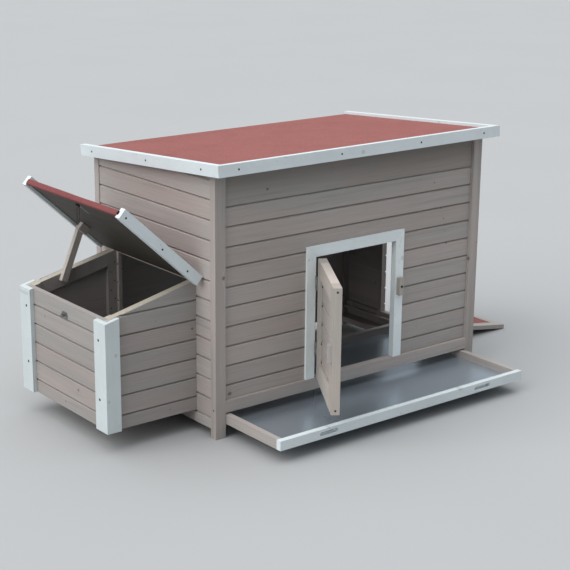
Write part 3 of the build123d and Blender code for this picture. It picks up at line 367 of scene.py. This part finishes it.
def screw_head(radius, dome=0.0):
    """Cross-recess screw head and neck, its rim at height zero, pointing up the Z axis."""
    shape = bmesh.new()
    segments = 24

    def ring(r, z):
        return [shape.verts.new((r * math.cos(2 * math.pi * k / segments),
                                 r * math.sin(2 * math.pi * k / segments), z))
                for k in range(segments)]

    def wall(low, high):
        for k in range(len(low)):
            n = (k + 1) % len(low)
            shape.faces.new((low[k], low[n], high[n], high[k]))

    tip, neck = ring(radius * 0.5, -0.0060), ring(radius * 0.5, -radius * 0.72)
    rim, edge = ring(radius, -0.0003), ring(radius * 0.95, dome * 0.35)
    crown = ring(radius * 0.72, dome * 0.85)
    shape.faces.new(reversed(tip))
    for low, high in ((tip, neck), (neck, rim), (rim, edge), (edge, crown)):
        wall(low, high)
    arm, half = radius * 0.60, radius * 0.13
    cross = [(arm, -half), (arm, half), (half, half), (half, arm), (-half, arm), (-half, half),
             (-arm, half), (-arm, -half), (-half, -half), (-half, -arm), (half, -arm), (half, -half)]
    top = [shape.verts.new((x, y, dome)) for x, y in cross]
    low = [shape.verts.new((x * 0.62, y * 0.75, dome - radius * 0.45)) for x, y in cross]
    wall(top, low)
    shape.faces.new(low)
    loops = [shape.edges.get((group[k], group[(k + 1) % len(group)])) or
             shape.edges.new((group[k], group[(k + 1) % len(group)]))
             for group in (crown, top) for k in range(len(group))]
    bmesh.ops.bridge_loops(shape, edges=loops)
    shape.verts.index_update()
    verts = np.array([v.co for v in shape.verts])
    faces = [tuple(v.index for v in f.verts) for f in shape.faces]
    shape.free()
    return verts, faces


def along_axis(direction, spin):
    """Rotation that takes Z to a direction, turned by spin about it."""
    turn = Vector(direction).to_track_quat("Z", "Y").to_matrix()
    return np.array(turn @ Matrix.Rotation(spin, 3, "Z"))


def heads_on(places, radius, dome=0.0):
    """One mesh of screw heads: places are (point, outward direction)."""
    verts, faces = screw_head(radius, dome)
    all_verts, all_faces = [], []
    for count, (point, outward) in enumerate(places):
        turned = verts @ along_axis(outward, 0.7 * count + 0.3).T + np.array(point)
        start = len(all_verts)
        all_verts.extend(turned)
        all_faces.extend(tuple(i + start for i in face) for face in faces)
    return all_verts, all_faces


def screw_places(node, sink=0.0002):
    """Head centre and outward direction of every screw of a CAD node."""
    places = []
    for pts in islands(nodes[node].data):
        middle = pts.mean(0)
        axis = np.linalg.svd(pts - middle)[2][0]
        t = (pts - middle) @ axis
        span = t.max() - t.min()
        def girth(near):
            ring = pts[near] - middle
            return np.linalg.norm(ring - np.outer(ring @ axis, axis), axis=1).max()
        if girth(t < t.min() + 0.1 * span) > girth(t > t.max() - 0.1 * span):
            axis, t = -axis, -t
        centre = (pts[t > t.max() - 1e-5].min(0) + pts[t > t.max() - 1e-5].max(0)) / 2
        places.append((centre - axis * sink, axis))
    return places


# near-black heads: dull zinc with the shade of their recesses painted in
screw_zinc = fitting_zinc("screw_zinc", (54, 52, 50), (0.45, 0.62), 0.4)
for node, body, radius, sink in (
        ("roof_screws", "coop", 0.0032, 0.0002), ("nest_screws", "coop", 0.0040, -0.0004),
        ("door_screws", "front_door", 0.0032, 0.0002), ("lid_screws", "nest_lid", 0.0032, 0.0002)):
    piece = add_piece(node + "_detail", *heads_on(screw_places(node, sink), radius), screw_zinc, body,
                      "zinc_fitting")
    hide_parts(node)
piece = add_piece("turn_button_screws_detail",
                  *heads_on(screw_places("turn_button_screws", 0.0013), 0.0042, 0.0013),
                  screw_zinc, "coop", "zinc_fitting")
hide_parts("turn_button_screws")


# ---- nails and hinge screws ----
def extents(node, *directions):
    """Lowest and highest measure of a CAD node along each direction."""
    pts = np.array([v.co for v in nodes[node].data.vertices])
    return [((pts @ np.array(d)).min(), (pts @ np.array(d)).max()) for d in directions]


def nails(name, places, radius, body, material, dome=0.0005):
    """Round flat nail heads, slightly domed, with short shanks: places are (point, outward)."""
    segments = 14
    rings = ((radius * 0.5, -0.004), (radius * 0.5, -0.0004), (radius, -0.0004), (radius, dome * 0.3),
             (radius * 0.6, dome))
    all_verts, all_faces = [], []
    for point, outward in places:
        start = len(all_verts)
        ring = [(r * math.cos(2 * math.pi * k / segments), r * math.sin(2 * math.pi * k / segments), z)
                for r, z in rings for k in range(segments)]
        turned = np.array(ring) @ along_axis(outward, 0.0).T + np.array(point)
        all_verts.extend(turned)
        for level in range(len(rings) - 1):
            for k in range(segments):
                low, n = start + level * segments, (k + 1) % segments
                all_faces.append((low + k, low + n, low + segments + n, low + segments + k))
        all_faces.append(tuple(start + k for k in reversed(range(segments))))
        top = start + (len(rings) - 1) * segments
        all_faces.append(tuple(top + k for k in range(segments)))
    return add_piece(name, all_verts, all_faces, material, body, "zinc_fitting")


# near-black heads: dark steel with the shade around the nail holes painted in
nail_steel = fitting_zinc("nail_steel", (36, 33, 31), (0.50, 0.68), 0.4)
DOOR_NAIL_Z = 0.179                # height of the lowest nails in the door boards
DOOR_NAIL_INSET = 0.0095           # from the ends of those boards
DOOR_OUT = Vector((math.sin(DOOR_TURN), -math.cos(DOOR_TURN), 0))
(hinge_end, latch_end), (_, face) = extents("door_boards", DOOR_RUN, DOOR_OUT)
door_nails = [(DOOR_RUN * run + DOOR_OUT * face + Z * (DOOR_NAIL_Z + PITCH * k), DOOR_OUT)
              for k in range(5)
              for run in (hinge_end + DOOR_NAIL_INSET, latch_end - DOOR_NAIL_INSET)]
nails("door_board_nails", door_nails, 0.0034, "front_door", nail_steel, 0.0022)

BATTEN = 0.015                     # thickness of the battens inside the nest, nailed in a zigzag
(_, house_end), (rear_inside, _), (nest_bottom, _) = extents("nest_rear_boards", X, Y, Z)
(_, front_inside), = extents("nest_front_boards", Y)
batten_nails = []
for k in range(12):
    x = house_end - (0.0075 if k % 2 else 0.0215)
    z = nest_bottom + 0.030 + k * PITCH / 2
    batten_nails.append((Vector((x, rear_inside - BATTEN, z)), -Y))
    batten_nails.append((Vector((x, front_inside + BATTEN, z)), Y))
nails("nest_batten_nails", batten_nails, 0.0019, "coop", nail_steel)

low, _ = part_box("front_posts")
add_piece("post_screw", *heads_on([(Vector((low.x - 0.0002, low.y + 0.0106, 0.0875)), -X)], 0.0032),
          screw_zinc, "coop", "zinc_fitting")


def leaf_screws(name, node, face, height, outward):
    """Four round-head screws on a pair of wall leaves, whose plates face outward at x = face."""
    low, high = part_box(node)
    spots = [(Vector((face, y + side, height)), outward)
             for y in (low.y + 0.021, high.y - 0.021) for side in (-0.012, 0.012)]
    add_piece(name, *heads_on(spots, 0.0028, 0.0011), screw_zinc, "coop", "zinc_fitting")


LEAF_INSET = 0.0075                # from the free edge of a wall leaf to its screws
low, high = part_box("lid_hinge_wall_leaves")
leaf_screws("lid_hinge_wall_screws", "lid_hinge_wall_leaves", low.x + 0.0090, high.z - LEAF_INSET, -X)
low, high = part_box("ramp_hinge_wall_leaves")
leaf_screws("ramp_hinge_wall_screws", "ramp_hinge_wall_leaves", high.x - 0.0080, low.z + LEAF_INSET, X)


# ---- felt ----
def rounded(path, radius, steps=4):
    """A line of 2-D points with its corners rounded."""
    out = [np.array(path[0], float)]
    for a, b, c in zip(path, path[1:], path[2:]):
        a, b, c = (np.array(p, float) for p in (a, b, c))
        r = min(radius, 0.45 * np.linalg.norm(a - b), 0.45 * np.linalg.norm(c - b))
        start = b + (a - b) / np.linalg.norm(a - b) * r
        end = b + (c - b) / np.linalg.norm(c - b) * r
        for k in range(steps + 1):
            t = k / steps
            out.append((1 - t) ** 2 * start + 2 * t * (1 - t) * b + t * t * end)
    out.append(np.array(path[-1], float))
    return out


def spaced(path, gap):
    """The same line with long stretches divided."""
    out = [path[0]]
    for a, b in zip(path, path[1:]):
        parts = max(1, int(np.linalg.norm(b - a) / gap))
        out.extend(a + (b - a) * k / parts for k in range(1, parts + 1))
    return out


def felt_sheet(name, node, body, run, up, side, path, thick, wave, seed, material):
    """Felt laid over a board and folded round its edges. path is the outer line in (run, up)
    measures; the sheet reaches across side. The waves fade out towards every edge."""
    pts = np.array([v.co for v in nodes[node].data.vertices])
    across = pts @ np.array(side)
    lo, hi = across.min(), across.max()
    line = spaced(rounded(path, 0.003), 0.012)
    bends = []
    for k in range(len(line)):
        a, b = line[max(k - 1, 0)], line[min(k + 1, len(line) - 1)]
        d = (b - a) / np.linalg.norm(b - a)
        bends.append(np.array((-d[1], d[0])))
    lengths = np.concatenate([[0], np.cumsum([np.linalg.norm(b - a) for a, b in zip(line, line[1:])])])
    columns = int((hi - lo) / 0.012)
    top = max(p[1] for p in line)
    verts, faces = [], []
    for layer in (0, 1):
        for k, (point, out) in enumerate(zip(line, bends)):
            tuck = TONGUE if point[1] < top - 0.0005 else 0.0
            for c in range(columns + 1):
                s = lo + (hi - lo) * c / columns
                s = min(max(s, lo + tuck), hi - tuck)
                fade = min(1.0, (s - lo - 0.007) / 0.03, (hi - 0.007 - s) / 0.03,
                           lengths[k] / 0.03, (lengths[-1] - lengths[k]) / 0.02)
                fade = max(0.0, fade)
                ripple = noise.noise(Vector((s * 7, lengths[k] * 7, seed))) + 0.45 * noise.noise(
                    Vector((s * 24, lengths[k] * 24, seed + 5)))
                lift = wave * fade * ripple - (thick if layer else 0)
                r, n = point + out * lift
                verts.append(np.array(run) * r + np.array(up) * n + np.array(side) * s)
    rows, cols = len(line), columns + 1
    def at(layer, k, c):
        return layer * rows * cols + k * cols + c
    for k in range(rows - 1):
        for c in range(columns):
            faces.append((at(0, k, c), at(0, k, c + 1), at(0, k + 1, c + 1), at(0, k + 1, c)))
            faces.append((at(1, k, c), at(1, k + 1, c), at(1, k + 1, c + 1), at(1, k, c + 1)))
        for c in (0, columns):
            faces.append((at(0, k, c), at(0, k + 1, c), at(1, k + 1, c), at(1, k, c)))
    for c in range(columns):
        for k in (0, rows - 1):
            faces.append((at(0, k, c), at(1, k, c), at(1, k, c + 1), at(0, k, c + 1)))
    piece = add_piece(name, verts, faces, material, body, "red_felt", sharp=50)
    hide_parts(node)
    return piece


felt = mineral_felt("red_mineral_felt")
THICK = 0.002
TONGUE = 0.006                     # how far the felt lies in the grooves of the white trims
(near, far), (under, over) = extents("roof_felt", ROOF_RUN, ROOF_UP)
felt_sheet("roof_felt_sheet", "roof_felt", "coop", ROOF_RUN, ROOF_UP, X,
           [(near, over), (far, over), (far, under)], THICK, 0.0007, 3.0, felt)
lid_felt = mineral_felt("red_mineral_felt_lid", (118, 58, 58), 4.0)
(near, far), (under, over) = extents("lid_felt", LID_RUN, LID_UP)
felt_sheet("lid_felt_sheet", "lid_felt", "nest_lid", LID_RUN, LID_UP, Y,
           [(near, over), (far - 0.022, over), (far - 0.007, over + 0.004), (far + 0.003, over + 0.001),
            (far + 0.003, under - 0.002), (far - 0.004, under - 0.003), (far - 0.014, under)],
           THICK, 0.0008, 8.0, lid_felt)
(near, far), (under, over) = extents("ramp_felt", RAMP_RUN, RAMP_UP)
felt_sheet("ramp_felt_sheet", "ramp_felt", "ramp", RAMP_RUN, RAMP_UP, Y,
           [(near, over), (far, over)], over - under, 0.0005, 12.0, felt)


# ---- materials of the CAD nodes ----
def give(material, *names):
    for name in names:
        mesh = nodes[name].data
        mesh.materials.clear()
        mesh.materials.append(material)


wall = (170, 164, 160)
# nest: a darker copy of the wall stain, partly the boards' own greyer tone and partly painted shade
nest = (154, 149, 146)
# a lighter copy of the wall stain, for the door's stiles, rails and turn button and the prop stick:
# painted light
frame_wood_painted_light = (182, 175, 168)
rim_low, rim_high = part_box("nest_end_boards")
(nest_front, _), = extents("nest_front_boards", Y)
(_, nest_rear), = extents("nest_rear_boards", Y)
rim_point = Vector((rim_low.x, (nest_front + nest_rear) / 2, rim_high.z - 0.0035))
rim = (rim_point, NEST_UP, (nest_rear - nest_front) / 2 - 0.004, (182, 175, 161))
front_low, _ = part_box("front_wall_boards")
_, rear_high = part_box("rear_wall_boards")
house = tuple((Vector(front_low) + Vector(rear_high)) / 2)
nest_box = (rim_low.x + 0.15, (rim_low.y + rim_high.y) / 2, 0.25)
give(stained("front_boards", X, Z, FRONT_FIRST, 1.0, wall, middle=house), "front_wall_boards")
give(stained("rear_boards", X, Z, SIDE_FIRST, 2.0, wall, middle=house), "rear_wall_boards")
give(stained("side_boards", Y, Z, SIDE_FIRST, 3.0, wall, middle=house),
     "left_wall_boards", "right_wall_boards")
give(stained("nest_long_boards", X, Z, NEST_FIRST, 4.0, nest, cap=rim, middle=nest_box),
     "nest_front_boards", "nest_rear_boards")
give(stained("nest_end", Y, Z, NEST_FIRST, 5.0, nest, middle=nest_box), "nest_end_boards")
give(stained("door_leaf", DOOR_RUN, Z, DOOR_FIRST, 6.0, wall), "door_boards")
give(stained("upright", Z, X, None, 7.0, wall), "front_posts", "rear_posts", "door_stop_battens",
     "pop_hole_battens", "door_pull")
give(stained("level", X, Z, None, 8.0, wall), "front_bottom_rail", "inner_rails",
     "tray_rear_board", "nest_floor")
rail_low, rail_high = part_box("front_top_rail")
# The front top rail has a darker base and darkens towards the roof: both are painted eave shade.
give(stained("eave_rail_painted_shade", X, Z, None, 17.0, (160, 155, 150), eave=(rail_low.z, rail_high.z - 0.01)),
     "front_top_rail")
give(stained("fore_aft", Y, X, None, 9.0, wall), "tray_side_boards", "tray_runners",
     "ramp_button_block", "prop_stick_block", "ramp_turn_button")
give(stained("nest_batten", Z, Y, None, 10.0, nest, cap=rim), "nest_inner_battens")
give(stained("door_upright", Z, DOOR_RUN, None, 11.0, frame_wood_painted_light), "door_stiles",
     "door_turn_button")
give(stained("door_level", DOOR_RUN, Z, None, 12.0, frame_wood_painted_light), "door_rails")
give(stained("stick", STICK_RUN, Y, None, 13.0, frame_wood_painted_light), "prop_stick")
give(stained("ramp_wood", RAMP_RUN, Y, None, 14.0, wall), "ramp_panel", "ramp_rails")
# dark base of the roof board: painted shade for its underside inside the house
give(stained("roof_underside", X, Y, None, 15.0, (84, 77, 70)), "roof_board")
# dark base of the lid panel: painted shade for its underside
give(stained("lid_underside", Y, LID_RUN, None, 16.0, (58, 54, 46)), "lid_panel")

give(painted("white_level", X, Z, seed=20.0), "roof_front_fascia", "tray_front_board")
# the door frame's head and jambs take lighter copies of the white paint: painted light
give(painted("white_frame_head", X, Z, seed=24.0, base=(226, 234, 236)), "door_frame_head")
give(painted("white_fore_aft", Y, Z, seed=21.0), "roof_side_fascias")
give(painted("white_frame", Z, X, seed=22.0, base=(232, 239, 240)), "door_frame_left_jamb",
     "door_frame_right_jamb")
# the nest corner trims take a darker copy of the white paint: painted shade
give(painted("white_corners", Z, X, seed=25.0, base=(197, 206, 208)), "nest_corner_trims")
give(painted("white_lid", LID_RUN, Y, seed=23.0, grime=0.30), "lid_side_trims")

give(felt, "roof_felt", "lid_felt", "ramp_felt")
give(sheet_zinc("tray_zinc"), "tray_sheet")
give(fitting_zinc("fitting"), "hinge_pins", "door_hinge_frame_leaves", "door_hinge_door_leaves",
     "lid_hinge_lid_leaves", "lid_hinge_wall_leaves", "ramp_hinge_ramp_leaves",
     "ramp_hinge_wall_leaves", "eye_plate", "turning_eye")
# the hasp's dark steel is painted shade, for the shade it hangs in under the lid
give(fitting_zinc("hasp_steel", (78, 73, 70)), "hasp_leaf_and_pin", "hasp_strap")

# ---- stage, light and camera ----
floor_mesh = bpy.data.meshes.new("floor")
reach = 40.0
floor_mesh.from_pydata([(-reach, -reach, 0), (reach, -reach, 0), (reach, reach, 0), (-reach, reach, 0)],
                       [], [(0, 1, 2, 3)])
floor = bpy.data.objects.new("floor", floor_mesh)
bpy.context.scene.collection.objects.link(floor)
tree = Tree("floor")
haze = tree.noise(tree.place, 1.2, 2.0)
floor_mesh.materials.append(tree.finish(
    tree.mix(haze, linear((158, 159, 160)), linear((162, 163, 163))), 0.9))
floor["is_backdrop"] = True

world = bpy.data.worlds.new("studio")
world.use_nodes = True
links, parts = world.node_tree.links, world.node_tree.nodes
heading = parts.new("ShaderNodeTexCoord")
split = parts.new("ShaderNodeSeparateXYZ")
rise = parts.new("ShaderNodeMapRange")
rise.interpolation_type = "SMOOTHSTEP"
for place, value in {1: 0.0, 2: 0.85, 3: 0.06, 4: 0.90}.items():
    rise.inputs[place].default_value = value
links.new(heading.outputs["Generated"], split.inputs[0])
links.new(split.outputs[2], rise.inputs[0])
links.new(rise.outputs[0], parts["Background"].inputs[1])
parts["Background"].inputs[0].default_value = (0.90, 0.95, 1.0, 1)
bpy.context.scene.world = world


def sun(name, source, strength, spread, colour=(1, 1, 1)):
    """Parallel light from a direction, softened over a spread in degrees."""
    light = bpy.data.lights.new(name, "SUN")
    light.energy = strength
    light.angle = math.radians(spread)
    light.color = colour
    lamp = bpy.data.objects.new(name, light)
    lamp.rotation_mode = "QUATERNION"
    lamp.rotation_quaternion = Vector(source).to_track_quat("Z", "Y")
    bpy.context.scene.collection.objects.link(lamp)


sun("key", (-1.0, 0.02, 0.70), 2.0, 55, (1.0, 0.99, 0.975))
sun("overhead", (-0.10, 0.10, 1.0), 1.9, 70)

scene = bpy.context.scene
scene.view_settings.view_transform = "Standard"
camera_data = bpy.data.cameras.new("camera")
camera_data.lens = 91.18
camera_data.sensor_width = 36.0
camera_data.clip_end = 200
camera = bpy.data.objects.new("camera", camera_data)
scene.collection.objects.link(camera)
scene.camera = camera
turn, dip, roll = math.radians(38.5209), math.radians(16.3019), math.radians(0.5999)
ahead = Vector((math.sin(turn) * math.cos(dip), math.cos(turn) * math.cos(dip), -math.sin(dip)))
level = Vector((math.cos(turn), -math.sin(turn), 0))
upward = level.cross(ahead)
right = level * math.cos(roll) + upward * math.sin(roll)
top = upward * math.cos(roll) - level * math.sin(roll)
camera.matrix_world = Matrix.Translation((-2.797471, -3.314802, 1.5868)) @ Matrix(
    (right, top, -ahead)).transposed().to_4x4()

low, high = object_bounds()
